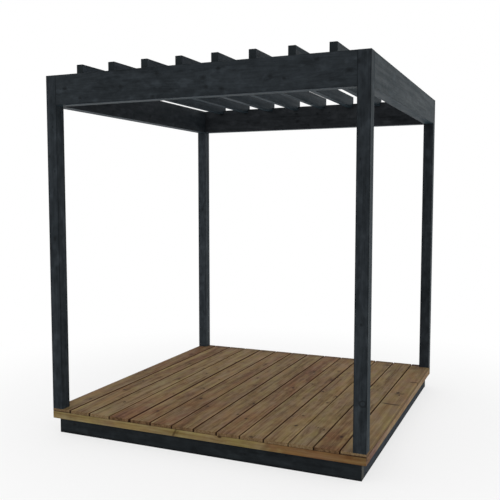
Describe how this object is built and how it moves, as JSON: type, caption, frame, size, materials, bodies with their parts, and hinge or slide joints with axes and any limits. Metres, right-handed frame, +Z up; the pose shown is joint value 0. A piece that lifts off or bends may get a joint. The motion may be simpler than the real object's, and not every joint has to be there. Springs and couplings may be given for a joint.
{
  "type": "garden pergola",
  "caption": "Open square timber pergola: corner posts on a raised plank deck, tied by deep beams that carry rafters set on edge.",
  "frame": {"origin": "on the ground under the middle of the deck", "axes": "+Z up, +X to the right seen from the front, front towards -Y"},
  "size_m": [2, 2.05, 2.269],
  "materials": {
    "posts": "black stain, satin",
    "beams": "black stain, satin",
    "rafters": "black stain, satin",
    "deck_boards": "oiled softwood",
    "rim": "oiled softwood",
    "base": "black stain, matt",
    "joists": "treated softwood"
  },
  "bodies": {
    "root": {"deck_board_01": "deck_boards", "deck_board_02": "deck_boards", "deck_board_03": "deck_boards", "deck_board_04": "deck_boards", "deck_board_05": "deck_boards", "deck_board_06": "deck_boards", "deck_board_07": "deck_boards", "deck_board_08": "deck_boards", "deck_board_09": "deck_boards", "deck_board_10": "deck_boards", "deck_board_11": "deck_boards", "deck_board_12": "deck_boards", "deck_board_13": "deck_boards", "deck_board_14": "deck_boards", "floor_joist_1": "joists", "floor_joist_2": "joists", "floor_joist_3": "joists", "front_base_beam": "base", "front_beam": "beams", "front_left_post": "posts", "front_right_post": "posts", "front_rim": "rim", "left_base_beam": "base", "left_beam": "beams", "left_rim": "rim", "rafter_1": "rafters", "rafter_2": "rafters", "rafter_3": "rafters", "rafter_4": "rafters", "rafter_5": "rafters", "rafter_6": "rafters", "rafter_7": "rafters", "rafter_8": "rafters", "rear_base_beam": "base", "rear_beam": "beams", "rear_left_post": "posts", "rear_right_post": "posts", "rear_rim": "rim", "right_base_beam": "base", "right_beam": "beams", "right_rim": "rim"}
  },
  "joints": []
}
